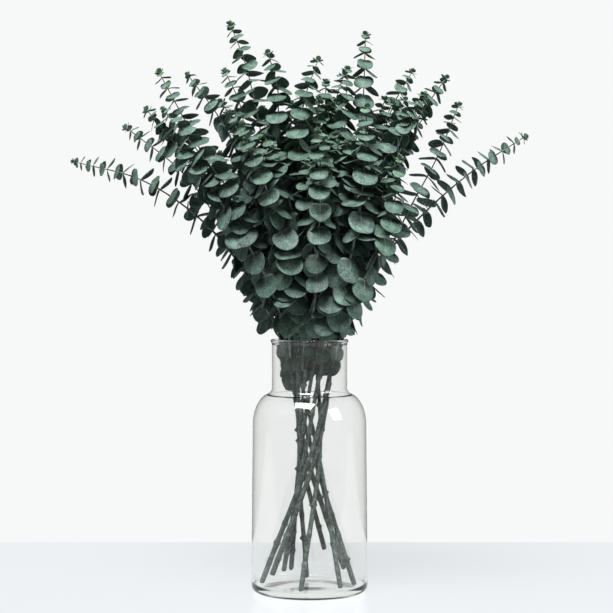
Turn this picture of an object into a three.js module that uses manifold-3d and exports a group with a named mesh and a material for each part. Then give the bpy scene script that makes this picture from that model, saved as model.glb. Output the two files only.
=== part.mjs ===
// A bunch of round-leaved eucalyptus branches standing in a clear glass bottle.
// Millimetres, +Z up, +Y away from the front. The origin is the middle of the bottle's flat base.
//
// bottle      one turned shell of glass: flat base, heel, body, shoulder, neck and rolled rim
// stem_NN     the bare woody stem of a branch, from its cut end in the bottle to just above the rim
// shoot_NNx   a leafy shoot on stem NN: the green twig with its opposite leaves, each pair
//             turned a quarter turn from the last

import * as THREE from "three";
import { mergeVertices } from "three/addons/utils/BufferGeometryUtils.js";
import Module from "manifold-3d";

const wasm = await Module();
wasm.setup();

// ---- Driving dimensions ----

const BOTTLE = {
  height: 268,
  wall: 2.2,
  floor: 6.5, // thickness of the glass floor
  footRadius: 61.8, // the body's widest, just above the heel
  bodyRadius: 60.2, // under the shoulder
  neckRadius: 39.9,
  heel: 9,
  shoulderBottom: 178,
  shoulderTop: 211,
  rimOut: 1.4, // how far the rolled rim stands out
  rimHeight: 3,
  rimSlope: 1.4, // height of the slope under the rim
  rimRounding: 0.8, // at the rim's outer and inner edges
  turns: 32, // facets around
};

const SHOULDER_END = 84; // degrees of the shoulder's curve, where it meets the neck

const STEM = { radius: 2.4, sides: 6, steps: 7 };
const WAIST = 154; // the height where the stems cross
const TWIG = { radius: 1.1, gap: 0.35 }; // gap keeps a shoot off its stem
const ROOM = { stem: 0.6, twig: 0.1, glass: 1.2, overRim: 1.5 }; // kept between leaves and the rest
const RIM_PASS = 273; // the height where the side shoots pass the rim

const LEAF = {
  crown: 0.9, // how far the upper face rises over the leaf's edge
  foot: 1.1, // thickness where the leaf meets the twig
  halfWidth: 0.54, // over the leaf's length
  widestAt: 0.46, // along the leaf
  bluntness: 0.46, // half the tip's width over the half width
  spacingAtBase: 19.5,
  spacingAtTip: 12,
  sizeAtBase: 0.9, // share of the shoot's full leaf length
  sizeAtTip: 0.5,
  fullAt: 0.25, // where along the shoot the leaves are largest
  droopAtBase: 48, // degrees below square to the twig
  droopAtTip: 14,
  clearance: 0.5, // space kept over and under every leaf
  offTwig: 2.2, // where the space kept for a leaf starts, from the middle of its twig
  unevenDroop: 12, // degrees, either way
  unevenTwist: 16, // degrees, either way
  unevenLength: 0.08, // share of the length, either way
  bareTwig: 7, // twig below the first pair
  bareTip: 5, // twig above the last pair
};

const COLOURS = { glass: 0xe9f1ee, bark: 0x6c6f66, leaf: 0x6f9a84 };

// ---- The branches ----

// Each stem: where its cut end stands, where it crosses the others at the waist, and its head above
// the rim. Each shoot: the points that it passes on its way to its tip, and its largest leaf.
// A shoot with no fork carries on from the stem's head. The others leave the stem at the height of
// their fork, and pass the rim at their own place inside the neck.
const BRANCHES = [
  {
    foot: [-51, 7, 8.9], waist: [3.5, -10.7], head: [33, -5, 276],
    shoots: [
      {
        leaf: 20,
        via: [[52, 4, 312], [77, 10, 352], [120, 14, 400], [174, 16, 447], [230, 12, 484]],
      },
      {
        leaf: 28, fork: 240, rim: [31, -11],
        via: [[50, -16, 304], [80, -20, 356], [106, -20, 408], [134, -16, 460], [157, -12, 516]],
      },
    ],
  },
  {
    foot: [-39, -23, 22], waist: [8.8, -6.9], head: [29, 17, 276],
    shoots: [
      {
        leaf: 27,
        via: [[38, 32, 322], [52, 46, 384], [72, 58, 458], [92, 62, 522], [113, 62, 559]],
      },
      {
        leaf: 28, fork: 236, rim: [27, 7],
        via: [[30, 8, 300], [42, 14, 382], [54, 22, 462], [58, 26, 530], [60, 26, 595]],
      },
    ],
  },
  {
    foot: [-28, 30, 18], waist: [-3.8, -10.5], head: [22, -21, 276],
    shoots: [
      {
        leaf: 31,
        via: [[44, -36, 320], [62, -42, 378], [82, -42, 440], [108, -36, 492], [143, -30, 543]],
      },
      {
        leaf: 30, fork: 238, rim: [18.5, -27.5],
        via: [[40, -54, 306], [66, -74, 352], [84, -80, 402], [92, -80, 456]],
      },
    ],
  },
  {
    foot: [-20, 42, 19.5], waist: [-8.8, -6.9], head: [12, -27, 276],
    shoots: [
      {
        leaf: 32,
        via: [[24, -52, 302], [36, -66, 336], [47, -78, 378], [55, -84, 440], [58, -82, 508]],
      },
      {
        leaf: 28, fork: 244, rim: [13, -20],
        via: [[18, -22, 308], [27, -22, 362], [32, -18, 428], [28, -14, 486]],
      },
    ],
  },
  {
    foot: [-9, -42, 8.9], waist: [11.2, 0.6], head: [7, 33, 276],
    shoots: [
      {
        leaf: 28,
        via: [[11, 46, 320], [19, 60, 384], [24, 70, 462], [27, 72, 518], [38, 70, 557]],
      },
      {
        leaf: 31, fork: 240, rim: [-1, 33],
        via: [[-4, 58, 308], [-10, 90, 372], [-12, 108, 436], [-8, 112, 494]],
      },
      {
        leaf: 30, fork: 226, rim: [15.5, 29.5],
        via: [[28, 52, 306], [52, 82, 368], [66, 100, 430], [76, 104, 482]],
      },
    ],
  },
  {
    foot: [16, 36, 40], waist: [-10.2, 4.6], head: [-12, -27, 276],
    shoots: [
      {
        leaf: 31,
        via: [[-19, -52, 318], [-29, -72, 376], [-40, -84, 414], [-55, -92, 452], [-68, -94, 490]],
      },
      {
        leaf: 30, fork: 236, rim: [-13, -19],
        via: [
          [-15, -18, 304], [-25, -22, 376], [-31, -22, 420],
          [-35, -20, 470], [-33, -16, 528], [-44, -12, 571],
        ],
      },
    ],
  },
  {
    foot: [32, -27, 8.9], waist: [7.5, 8.3], head: [-25, 22, 276],
    shoots: [
      {
        leaf: 27,
        via: [[-38, 30, 314], [-64, 38, 356], [-99, 42, 434], [-131, 42, 496], [-163, 38, 556]],
      },
      {
        leaf: 28, fork: 240, rim: [-13.5, 30.5],
        via: [[-28, 48, 306], [-50, 66, 392], [-67, 74, 456], [-76, 72, 522], [-93, 68, 560]],
      },
      {
        leaf: 24, fork: 224, rim: [-14, 18],
        via: [[-17, 22, 310], [-36, 24, 412], [-54, 26, 498], [-68, 28, 560], [-85, 28, 606]],
      },
    ],
  },
  {
    foot: [37, 28, 21], waist: [-5.9, 9.5], head: [-26, -17, 276],
    shoots: [
      {
        leaf: 30,
        via: [[-38, -42, 318], [-56, -56, 356], [-94, -62, 416], [-132, -60, 464], [-168, -56, 507]],
      },
      {
        leaf: 28, fork: 240, rim: [-21.5, -25.5],
        via: [[-30, -30, 312], [-46, -34, 380], [-68, -36, 446], [-94, -34, 500], [-127, -30, 545]],
      },
    ],
  },
  {
    foot: [47, -5, 8.9], waist: [1.2, 11.1], head: [-33, 3, 276],
    shoots: [
      { leaf: 21, via: [[-60, 6, 326], [-108, 10, 388], [-176, 12, 436], [-251, 8, 457]] },
      {
        leaf: 28, fork: 238, rim: [-32.5, -6],
        via: [[-48, -12, 306], [-78, -6, 362], [-130, 6, 440], [-196, 8, 494]],
      },
      {
        leaf: 30, fork: 224, rim: [-30.5, 12],
        via: [[-48, 34, 304], [-68, 76, 362], [-84, 98, 420], [-100, 104, 472]],
      },
    ],
  },
  {
    foot: [-3, 46, 8.9], waist: [-11.1, -1.6], head: [1, -29, 276],
    shoots: [
      { leaf: 31, via: [[6, -56, 316], [9, -82, 380], [11, -98, 436], [8, -104, 482]] },
      {
        leaf: 30, fork: 238, rim: [-5, -27],
        via: [[-6, -32, 306], [-12, -46, 400], [-11, -52, 460], [-6, -50, 514], [9, -44, 560]],
      },
    ],
  },
];

// ---- Small helpers ----

const at = (list) => new THREE.Vector3(...list);
const radians = THREE.MathUtils.degToRad;
const mix = THREE.MathUtils.lerp;
const SEAM = 1e-3; // corners closer than this are one

/** A repeatable number from -1 to 1 for two counts. */
function wobble(a, b) {
  const s = Math.sin(a * 12.9898 + b * 78.233) * 43758.5453;
  return 2 * (s - Math.floor(s)) - 1;
}

/** A turned skin with its seam and its middle points merged, so that it closes into one solid. */
function sewn(turned) {
  turned.deleteAttribute("normal");
  turned.deleteAttribute("uv");
  const merged = mergeVertices(turned, SEAM);
  const solid = new wasm.Manifold(
    new wasm.Mesh({
      numProp: 3,
      vertProperties: merged.attributes.position.array,
      triVerts: new Uint32Array(merged.index.array),
    }),
  );
  const mesh = solid.getMesh();
  const geometry = new THREE.BufferGeometry();
  geometry.setAttribute("position", new THREE.BufferAttribute(mesh.vertProperties, 3));
  geometry.setIndex(new THREE.BufferAttribute(mesh.triVerts, 1));
  geometry.computeVertexNormals();
  return geometry;
}

// ---- The bottle ----

/** The glass section: out from the middle of the base, up the outside, over the rim, down inside. */
function bottleSection() {
  const b = BOTTLE;
  const rimTop = b.height;
  const rimBottom = b.height - b.rimHeight;
  const shoulderRise = b.shoulderTop - b.shoulderBottom;
  const path = new THREE.Path();
  path.moveTo(0, 0);
  path.lineTo(b.footRadius - b.heel, 0);
  path.absarc(b.footRadius - b.heel, b.heel, b.heel, -Math.PI / 2, 0, false);
  path.lineTo(b.bodyRadius, b.shoulderBottom);
  path.absellipse(
    b.neckRadius, b.shoulderBottom,
    b.bodyRadius - b.neckRadius, shoulderRise,
    0, radians(SHOULDER_END), false, 0,
  );
  path.lineTo(b.neckRadius, rimBottom - b.rimSlope);
  path.lineTo(b.neckRadius + b.rimOut, rimBottom);
  path.lineTo(b.neckRadius + b.rimOut, rimTop - b.rimRounding);
  path.lineTo(b.neckRadius + b.rimOut - b.rimRounding, rimTop);
  path.lineTo(b.neckRadius - b.wall + b.rimRounding, rimTop);
  path.lineTo(b.neckRadius - b.wall, rimTop - b.rimRounding);
  path.absellipse(
    b.neckRadius - b.wall, b.shoulderBottom,
    b.bodyRadius - b.neckRadius, shoulderRise - b.wall / 2,
    radians(SHOULDER_END), 0, true, 0,
  );
  path.lineTo(b.footRadius - b.wall, b.floor + b.heel - b.wall);
  path.absarc(
    b.footRadius - b.heel, b.floor + b.heel - b.wall,
    b.heel - b.wall,
    0, -Math.PI / 2, true,
  );
  path.lineTo(0, b.floor);
  return path.getPoints(2);
}

function makeBottle() {
  const geometry = new THREE.LatheGeometry(bottleSection(), BOTTLE.turns);
  geometry.rotateX(Math.PI / 2); // three.js turns about Y, and the bottle stands along Z
  return sewn(geometry);
}

// ---- Stems and twigs ----

/** A curve walked from one arc length to another, with its rings at the lengths given. */
class Stretch extends THREE.Curve {
  constructor(curve, lengths) {
    super();
    this.curve = curve;
    this.total = curve.getLength();
    this.lengths = lengths;
  }

  share(u) {
    const place = u * (this.lengths.length - 1);
    const i = Math.min(Math.floor(place), this.lengths.length - 2);
    return Math.min(1, mix(this.lengths[i], this.lengths[i + 1], place - i) / this.total);
  }

  getPointAt(u) {
    return this.curve.getPointAt(this.share(u));
  }

  getTangentAt(u) {
    return this.curve.getTangentAt(this.share(u));
  }
}

/** A closed rod along a stretch of a curve. */
function rod(curve, lengths, radius, sides) {
  const section = new THREE.Shape();
  for (let i = 0; i < sides; i += 1) {
    const turn = (2 * Math.PI * i) / sides;
    const corner = [radius * Math.cos(turn), radius * Math.sin(turn)];
    if (i === 0) section.moveTo(...corner);
    else section.lineTo(...corner);
  }
  return new THREE.ExtrudeGeometry(section, {
    steps: lengths.length - 1,
    extrudePath: new Stretch(curve, lengths),
    curveSegments: 1,
  });
}

/** Evenly spaced lengths from one to another. */
function evenly(from, to, steps) {
  return Array.from({ length: steps + 1 }, (_, i) => mix(from, to, i / steps));
}

/** Where a rising curve reaches a height, as an arc length. */
function lengthAtHeight(curve, height) {
  const total = curve.getLength();
  let low = 0;
  let high = 1;
  for (let i = 0; i < 40; i += 1) {
    const middle = (low + high) / 2;
    if (curve.getPointAt(middle).z < height) low = middle;
    else high = middle;
  }
  return low * total;
}

function smooth(points) {
  const curve = new THREE.CatmullRomCurve3(points, false, "centripetal");
  curve.arcLengthDivisions = 400;
  return curve;
}

/** The line of a branch: its stem from the foot to the head, and on along its leading shoot. */
function leadingLine(branch) {
  return smooth([
    at(branch.foot),
    at([...branch.waist, WAIST]),
    at(branch.head),
    ...branch.shoots[0].via.map(at),
  ]);
}

/** The line of a side shoot, which leaves the stem's bark at the fork. */
function sideLine(lead, shoot) {
  const share = lengthAtHeight(lead, shoot.fork) / lead.getLength();
  const middle = lead.getPointAt(share);
  const along = lead.getTangentAt(share);
  const away = at(shoot.via[0]).sub(middle);
  away.addScaledVector(along, -away.dot(along)).normalize();
  const start = middle.clone().addScaledVector(away, STEM.radius + TWIG.radius + TWIG.gap);
  return smooth([start, at([...shoot.rim, RIM_PASS]), ...shoot.via.map(at)]);
}

// ---- Leaves ----

/** Arc lengths of the leaf pairs, closer together towards the tip. */
function pairLengths(from, total) {
  const lengths = [];
  let here = from + LEAF.bareTwig;
  while (here < total - LEAF.bareTip) {
    lengths.push(here);
    const share = (here - from) / (total - from);
    here += mix(LEAF.spacingAtBase, LEAF.spacingAtTip, share);
  }
  return lengths;
}

/** A leaf's length at a share of the way up its shoot. */
function leafLength(largest, share) {
  const { fullAt, sizeAtBase, sizeAtTip } = LEAF;
  if (share < fullAt) return largest * mix(sizeAtBase, 1, share / fullAt);
  return largest * mix(1, sizeAtTip, ((share - fullAt) / (1 - fullAt)) ** 1.6);
}

/** The direction square to a twig at a turn around it. */
function square(along, turn) {
  const side = new THREE.Vector3(0, 1, 0).cross(along).normalize();
  return side.applyAxisAngle(along, turn);
}

/** How far a twig's sides are turned at a pair of leaves. */
function twigTurn(shoot, pair) {
  return radians(37 * shoot.key + 14 * wobble(shoot.key, Math.max(pair, 0)));
}

/** Where a leaf sits: X along it from the middle of the twig, Z out of its upper face. */
function leafPlace(point, along, turn, droop, twist) {
  const out = square(along, turn);
  const axis = out.clone().multiplyScalar(Math.cos(droop)).addScaledVector(along, -Math.sin(droop));
  const face = out.clone().multiplyScalar(Math.sin(droop)).addScaledVector(along, Math.cos(droop));
  face.applyAxisAngle(axis, twist);
  const across = face.clone().cross(axis);
  return new THREE.Matrix4().makeBasis(axis, across, face).setPosition(point);
}

/**
 * A twig with its leaves as one closed skin. The twig is square, and each pair of leaves grows out of
 * two opposite sides of it, in the short stretch between two rings of its corners.
 */
class LeafySkin {
  constructor(shoot) {
    this.corners = [];
    this.faces = [];
    const rings = [this.addRing(shoot, shoot.from, 0)];
    shoot.pairs.forEach((length, i) => {
      rings.push(this.addRing(shoot, length - LEAF.foot / 2, i));
      rings.push(this.addRing(shoot, length + LEAF.foot / 2, i));
    });
    rings.push(this.addRing(shoot, shoot.total, shoot.pairs.length - 1));
    for (let r = 0; r + 1 < rings.length; r += 1) {
      const pair = r % 2 === 1 ? (r - 1) / 2 : -1;
      for (let side = 0; side < 4; side += 1) {
        const next = (side + 1) % 4;
        const [a, b] = [rings[r][side], rings[r][next]];
        const [c, d] = [rings[r + 1][next], rings[r + 1][side]];
        const leaf = pair >= 0 && shoot.leaves.find((l) => l.pair === pair && l.side === side);
        if (leaf) this.addLeaf(leaf, a, b, c, d);
        else this.faces.push(a, b, c, a, c, d);
      }
    }
    const last = rings.at(-1);
    this.faces.push(0, 2, 1, 0, 3, 2);
    this.faces.push(last[0], last[1], last[2], last[0], last[2], last[3]);
  }

  geometry() {
    const geometry = new THREE.BufferGeometry();
    geometry.setAttribute("position", new THREE.Float32BufferAttribute(this.corners, 3));
    geometry.setIndex(this.faces);
    geometry.computeVertexNormals();
    return geometry;
  }

  addCorner(point) {
    this.corners.push(point.x, point.y, point.z);
    return this.corners.length / 3 - 1;
  }

  /** Four corners of the twig, with its sides facing the leaves. */
  addRing(shoot, length, pair) {
    const u = Math.min(1, length / shoot.total);
    const middle = shoot.line.getPointAt(u);
    const along = shoot.line.getTangentAt(u);
    return [0, 1, 2, 3].map((side) => {
      const turn = twigTurn(shoot, pair) + radians(90 * side - 45);
      return this.addCorner(middle.clone().addScaledVector(square(along, turn), TWIG.radius));
    });
  }

  /** A leaf on the stretch of twig a b c d, where a and b are the lower corners. */
  addLeaf(leaf, a, b, c, d) {
    const place = (x, y, z) =>
      this.addCorner(new THREE.Vector3(x * leaf.length, y * leaf.length, z).applyMatrix4(leaf.place));
    const { halfWidth, widestAt, bluntness, crown } = LEAF;
    const right = place(widestAt, -halfWidth, 0);
    const left = place(widestAt, halfWidth, 0);
    const tipRight = place(1, -halfWidth * bluntness, 0);
    const tipLeft = place(1, halfWidth * bluntness, 0);
    const top = place(widestAt, 0, crown);
    this.faces.push(a, b, left, a, left, right, right, left, tipLeft, right, tipLeft, tipRight);
    const rim = [d, right, tipRight, tipLeft, left, c];
    rim.forEach((corner, i) => this.faces.push(corner, rim[(i + 1) % rim.length], top));
    this.faces.push(a, right, d, b, c, left);
  }
}

// ---- Keeping the pieces apart ----

/** A convex block for the clash test, from two matching outlines. */
function block(low, high) {
  const points = [...low, ...high];
  const n = low.length;
  const edges = low.map((p, i) => low[(i + 1) % n].clone().sub(p));
  const up = high[0].clone().sub(low[0]);
  const faces = edges.map((e) => e.clone().cross(up).normalize());
  faces.push(edges[0].clone().cross(edges[1]).normalize());
  const centre = new THREE.Vector3();
  points.forEach((p) => centre.addScaledVector(p, 1 / points.length));
  const reach = Math.max(...points.map((p) => p.distanceTo(centre)));
  return { points, faces, edges: [...edges, up], centre, reach };
}

/** The space that a leaf needs, as a rounder and thicker plate that starts clear of the twig. */
function leafBlock(leaf) {
  const half = leaf.length * LEAF.halfWidth;
  const start = Math.min(LEAF.widestAt, LEAF.offTwig / leaf.length);
  const outline = [
    [start, -0.35], [0.3, -0.9], [0.62, -1], [1, -0.5],
    [1, 0.5], [0.62, 1], [0.3, 0.9], [start, 0.35],
  ];
  const layer = (z) =>
    outline.map(([x, y]) => new THREE.Vector3(x * leaf.length, y * half, z).applyMatrix4(leaf.place));
  return block(layer(-LEAF.clearance), layer(LEAF.crown + LEAF.clearance));
}

/** The space that a stretch of stem or twig needs. */
function rodBlocks(curve, lengths, radius) {
  const total = curve.getLength();
  const ring = (length) => {
    const middle = curve.getPointAt(Math.min(1, length / total));
    const along = curve.getTangentAt(Math.min(1, length / total));
    const side = new THREE.Vector3(0, 1, 0).cross(along).normalize();
    const other = along.clone().cross(side);
    return [[1, 1], [-1, 1], [-1, -1], [1, -1]].map(([a, b]) =>
      middle.clone().addScaledVector(side, a * radius).addScaledVector(other, b * radius));
  };
  return lengths.slice(1).map((length, i) => block(ring(lengths[i]), ring(length)));
}

function apartAlong(axis, a, b) {
  if (axis.lengthSq() < 1e-9) return false;
  const spans = [a, b].map((shape) => {
    const places = shape.points.map((p) => p.dot(axis));
    return [Math.min(...places), Math.max(...places)];
  });
  return spans[0][1] < spans[1][0] || spans[1][1] < spans[0][0];
}

/** Whether two convex blocks share any space. */
function clash(a, b) {
  if (a.centre.distanceTo(b.centre) > a.reach + b.reach) return false;
  if (a.faces.some((axis) => apartAlong(axis, a, b))) return false;
  if (b.faces.some((axis) => apartAlong(axis, a, b))) return false;
  const crossed = new THREE.Vector3();
  return !a.edges.some((e) =>
    b.edges.some((f) => apartAlong(crossed.crossVectors(e, f), a, b)));
}

/** A leaf near the rim has to lie wholly inside the neck. */
function clearOfBottle(shape) {
  const lowest = Math.min(...shape.points.map((p) => p.z));
  if (lowest > BOTTLE.height + ROOM.overRim) return true;
  const room = BOTTLE.neckRadius - BOTTLE.wall - ROOM.glass;
  return lowest > BOTTLE.shoulderTop && shape.points.every((p) => Math.hypot(p.x, p.y) < room);
}

// A leaf that has no room is turned, drooped or grown smaller until it has, or isn't grown.
const SHRINKS = [1, 0.86, 0.72, 0.56];
const TURNS = [0, 16, -16, 32, -32];
const DROOPS = [0, 12, -12, 24, -24, 36];
const MOST_DROOP = 74;

function growLeaf(wanted, taken) {
  for (const shrink of SHRINKS) {
    for (const turn of TURNS) {
      for (const droop of DROOPS) {
        const hang = Math.min(wanted.droop + droop, MOST_DROOP);
        const place = leafPlace(
          wanted.point, wanted.along, wanted.turn + radians(turn), radians(hang), wanted.twist,
        );
        const leaf = { place, length: wanted.length * shrink };
        const needs = leafBlock(leaf);
        const others = taken.filter((t) => !wanted.grownFrom.includes(t));
        if (clearOfBottle(needs) && !others.some((t) => clash(needs, t))) {
          taken.push(needs);
          return leaf;
        }
      }
    }
  }
  return null;
}

// ---- Putting the bunch together ----

const name = (kind, number) => `${kind}_${String(number).padStart(2, "0")}`;

/** Every stem and shoot with its line and the stretch of the line that it takes. */
function layOut() {
  const stems = [];
  const shoots = [];
  BRANCHES.forEach((branch, b) => {
    const lead = leadingLine(branch);
    const headLength = lengthAtHeight(lead, branch.head[2]);
    stems.push({
      name: name("stem", b + 1),
      line: lead,
      lengths: evenly(0, headLength, STEM.steps),
    });
    branch.shoots.forEach((shoot, s) => {
      const line = s === 0 ? lead : sideLine(lead, shoot);
      const from = s === 0 ? headLength + TWIG.gap : 0;
      const total = line.getLength();
      shoots.push({
        name: name("shoot", b + 1) + "abc"[s],
        key: 10 * (b + 1) + s,
        line,
        from,
        total,
        leaf: shoot.leaf,
        pairs: pairLengths(from, total),
      });
    });
  });
  return { stems, shoots };
}

/** Grows the leaves of every shoot, one pair of each shoot at a time from the tips down. */
function growLeaves(stems, shoots) {
  const taken = stems.flatMap((s) => rodBlocks(s.line, s.lengths, STEM.radius + ROOM.stem));
  shoots.forEach((s) => {
    s.leaves = [];
    s.blocks = rodBlocks(s.line, [s.from, ...s.pairs, s.total], TWIG.radius + ROOM.twig);
    taken.push(...s.blocks);
  });
  const most = Math.max(...shoots.map((s) => s.pairs.length));
  for (let down = 1; down <= most; down += 1) {
    for (const shoot of shoots) {
      const i = shoot.pairs.length - down;
      if (i < 0) continue;
      const share = (shoot.pairs[i] - shoot.from) / (shoot.total - shoot.from);
      const u = shoot.pairs[i] / shoot.total;
      for (const half of [0, 1]) {
        const count = 2 * i + half;
        const side = (i % 2) + 2 * half;
        const leaf = growLeaf({
          point: shoot.line.getPointAt(u),
          along: shoot.line.getTangentAt(u),
          turn: twigTurn(shoot, i) + radians(90 * side),
          droop: mix(LEAF.droopAtBase, LEAF.droopAtTip, share)
            + LEAF.unevenDroop * wobble(shoot.key, 50 + count),
          twist: radians(LEAF.unevenTwist * wobble(shoot.key, 100 + count)),
          length: leafLength(shoot.leaf, share)
            * (1 + LEAF.unevenLength * wobble(shoot.key, 150 + count)),
          grownFrom: shoot.blocks.slice(i, i + 2),
        }, taken);
        if (leaf) shoot.leaves.push({ ...leaf, pair: i, side });
      }
    }
  }
}

const glass = new THREE.MeshStandardMaterial({
  color: COLOURS.glass, roughness: 0.04, metalness: 0, transparent: true, opacity: 0.35,
});
const bark = new THREE.MeshStandardMaterial({ color: COLOURS.bark, roughness: 0.85, metalness: 0 });
const foliage = new THREE.MeshStandardMaterial({ color: COLOURS.leaf, roughness: 0.6, metalness: 0 });

const bunch = new THREE.Group();

function addPiece(pieceName, geometry, material) {
  const mesh = new THREE.Mesh(geometry, material);
  mesh.name = pieceName;
  bunch.add(mesh);
}

const { stems, shoots } = layOut();
growLeaves(stems, shoots);

addPiece("bottle", makeBottle(), glass);
for (const stem of stems) {
  addPiece(stem.name, rod(stem.line, stem.lengths, STEM.radius, STEM.sides), bark);
}
for (const shoot of shoots) {
  addPiece(shoot.name, new LeafySkin(shoot).geometry(), foliage);
}

export default bunch;
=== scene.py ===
"""Round-leaved eucalyptus branches in a clear glass bottle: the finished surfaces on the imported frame."""

import math
import random

import bpy
import numpy as np
from mathutils import Matrix, Vector


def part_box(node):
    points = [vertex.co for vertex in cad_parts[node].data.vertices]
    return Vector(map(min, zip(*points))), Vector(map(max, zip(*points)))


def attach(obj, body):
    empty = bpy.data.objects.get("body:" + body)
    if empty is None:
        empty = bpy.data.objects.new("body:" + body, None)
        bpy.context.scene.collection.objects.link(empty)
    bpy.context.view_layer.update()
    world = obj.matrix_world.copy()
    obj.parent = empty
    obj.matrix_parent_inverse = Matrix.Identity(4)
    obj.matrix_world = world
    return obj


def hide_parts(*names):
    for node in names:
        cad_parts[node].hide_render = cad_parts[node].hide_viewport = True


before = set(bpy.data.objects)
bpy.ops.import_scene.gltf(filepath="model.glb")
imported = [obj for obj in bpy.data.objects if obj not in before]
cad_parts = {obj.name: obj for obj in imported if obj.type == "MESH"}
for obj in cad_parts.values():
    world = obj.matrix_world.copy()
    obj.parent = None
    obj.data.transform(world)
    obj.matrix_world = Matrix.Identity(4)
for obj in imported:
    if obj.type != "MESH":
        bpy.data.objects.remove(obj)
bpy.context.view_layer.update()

MM = 0.001
BODY = "root"


# ---- Small helpers ----

def mix(a, b, share):
    return a + (b - a) * share


def smooth_step(share):
    share = min(max(share, 0.0), 1.0)
    return share * share * (3 - 2 * share)


def linear(hex_colour):
    """An sRGB hex colour as linear RGBA."""
    values = [int(hex_colour[i:i + 2], 16) / 255 for i in (1, 3, 5)]
    return tuple(v / 12.92 if v <= 0.04045 else ((v + 0.055) / 1.055) ** 2.4 for v in values) + (1.0,)


def make_piece(name, points, faces, materials, face_materials=None, coords=None, tints=None):
    """A smooth mesh piece that rides on the body. coords are UV pairs and tints colours, one a point."""
    mesh = bpy.data.meshes.new(name)
    mesh.from_pydata([tuple(p) for p in points], [], faces)
    for material in materials:
        mesh.materials.append(material)
    if face_materials is not None:
        mesh.polygons.foreach_set("material_index", face_materials)
    mesh.polygons.foreach_set("use_smooth", [True] * len(faces))
    corners = np.zeros(len(mesh.loops), np.int32)
    mesh.loops.foreach_get("vertex_index", corners)
    if coords is not None:
        layer = mesh.uv_layers.new(name="UVMap")
        layer.data.foreach_set("uv", np.asarray(coords, np.float32)[corners].ravel())
    if tints is not None:
        layer = mesh.attributes.new("tint", "FLOAT_COLOR", "POINT")
        layer.data.foreach_set("color", np.asarray(tints, np.float32).ravel())
    mesh.update()
    piece = bpy.data.objects.new(name, mesh)
    bpy.context.scene.collection.objects.link(piece)
    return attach(piece, BODY)


# ---- Reading the lines of stems and twigs, and the size of leaves, from the frame ----

SAME_CORNER = 0.01 * MM    # corners nearer than this are one
STEM_RING_EDGE = 6 * MM    # a stem's rings are far further apart than this
TWIG_RING_EDGE = 2.3 * MM  # a twig's corners are nearer than this, a leaf's are not
TWIG_RING = 4              # a group of fewer corners belongs to a leaf
FULL_REACH = 24 * MM       # only the leaves of the two long bare side shoots reach less than this
REAL_LEAF = 0.85           # a real leaf over the frame's, which stands for a leaf and the bits around it
REAL_BARE_LEAF = 1.0       # on those two shoots


class Skin:
    """A node's corners with equal ones joined, and which of them an edge joins."""

    def __init__(self, node):
        mesh = node.data
        raw = np.zeros(len(mesh.vertices) * 3)
        mesh.vertices.foreach_get("co", raw)
        raw = raw.reshape(-1, 3)
        keys, merged = np.unique(np.round(raw / SAME_CORNER).astype(int), axis=0, return_inverse=True)
        merged = merged.ravel()
        self.points = np.zeros((len(keys), 3))
        self.points[merged] = raw
        self.near = [set() for _ in keys]
        for edge in mesh.edges:
            a, b = (merged[v] for v in edge.vertices)
            if a != b:
                self.near[a].add(b)
                self.near[b].add(a)

    def groups(self, longest):
        """The corners in sets that edges no longer than that join."""
        left, found = set(range(len(self.points))), []
        while left:
            group, front = set(), [left.pop()]
            while front:
                here = front.pop()
                group.add(here)
                for other in self.near[here] & left:
                    if np.linalg.norm(self.points[other] - self.points[here]) < longest:
                        left.discard(other)
                        front.append(other)
            found.append(sorted(group))
        return found


def in_order(middles, start):
    """Ring middles ordered along a rod from the one nearest to start."""
    left = [Vector(m) for m in middles]
    line = [min(left, key=lambda m: (m - start).length)]
    left.remove(line[0])
    while left:
        line.append(min(left, key=lambda m: (m - line[-1]).length))
        left.remove(line[-1])
    return line


def read_stem(name):
    """The middle line of a stem, from its cut foot up."""
    skin = Skin(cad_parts[name])
    middles = [skin.points[ring].mean(axis=0) for ring in skin.groups(STEM_RING_EDGE)]
    return in_order(middles, Vector(min(middles, key=lambda m: m[2])))


def read_shoot(name):
    """The middle line of a twig, from its lowest end up, and the length of its longest leaf."""
    skin = Skin(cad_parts[name])
    groups = skin.groups(TWIG_RING_EDGE)
    middles = np.array([skin.points[g].mean(axis=0) for g in groups if len(g) >= TWIG_RING])
    leaves = skin.points[[c for g in groups if len(g) < TWIG_RING for c in g]]
    reach = np.linalg.norm(leaves[:, None] - middles[None], axis=2).min(axis=1).max()
    line = in_order(middles, min((Vector(m) for m in middles), key=lambda m: m.z))
    return line, reach * (REAL_LEAF if reach > FULL_REACH else REAL_BARE_LEAF)


# ---- Rods: stems and twigs ----

SLANT_LENGTH = 6 * MM  # how far up from its cut end a rod leans with the cut
UV_LENGTH = 100 * MM   # length of a rod that is 1 high in its UVs


def spline(points, share_steps):
    """Points of a smooth curve through the given ones, with that many steps between each two."""
    ends = [points[0] * 2 - points[1], *points, points[-1] * 2 - points[-2]]
    line = []
    for i in range(len(points) - 1):
        a, b, c, d = ends[i:i + 4]
        for step in range(share_steps):
            t = step / share_steps
            line.append(0.5 * (2 * b + (c - a) * t + (2 * a - 5 * b + 4 * c - d) * t * t
                               + (3 * b - a - 3 * c + d) * t ** 3))
    return [*line, points[-1].copy()]


def arc_lengths(line):
    """How far along a line each of its points is."""
    lengths = [0.0]
    for a, b in zip(line, line[1:]):
        lengths.append(lengths[-1] + (b - a).length)
    return lengths


def rod_rings(line):
    """For each point of a line: it, two unit vectors square to the line, without twist, and one along it."""
    side = Vector((0, 1, 0))
    rings = []
    for i, point in enumerate(line):
        along = (line[min(i + 1, len(line) - 1)] - line[max(i - 1, 0)]).normalized()
        side = (side - along * side.dot(along)).normalized()
        rings.append((point, side, along.cross(side), along))
    return rings


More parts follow.
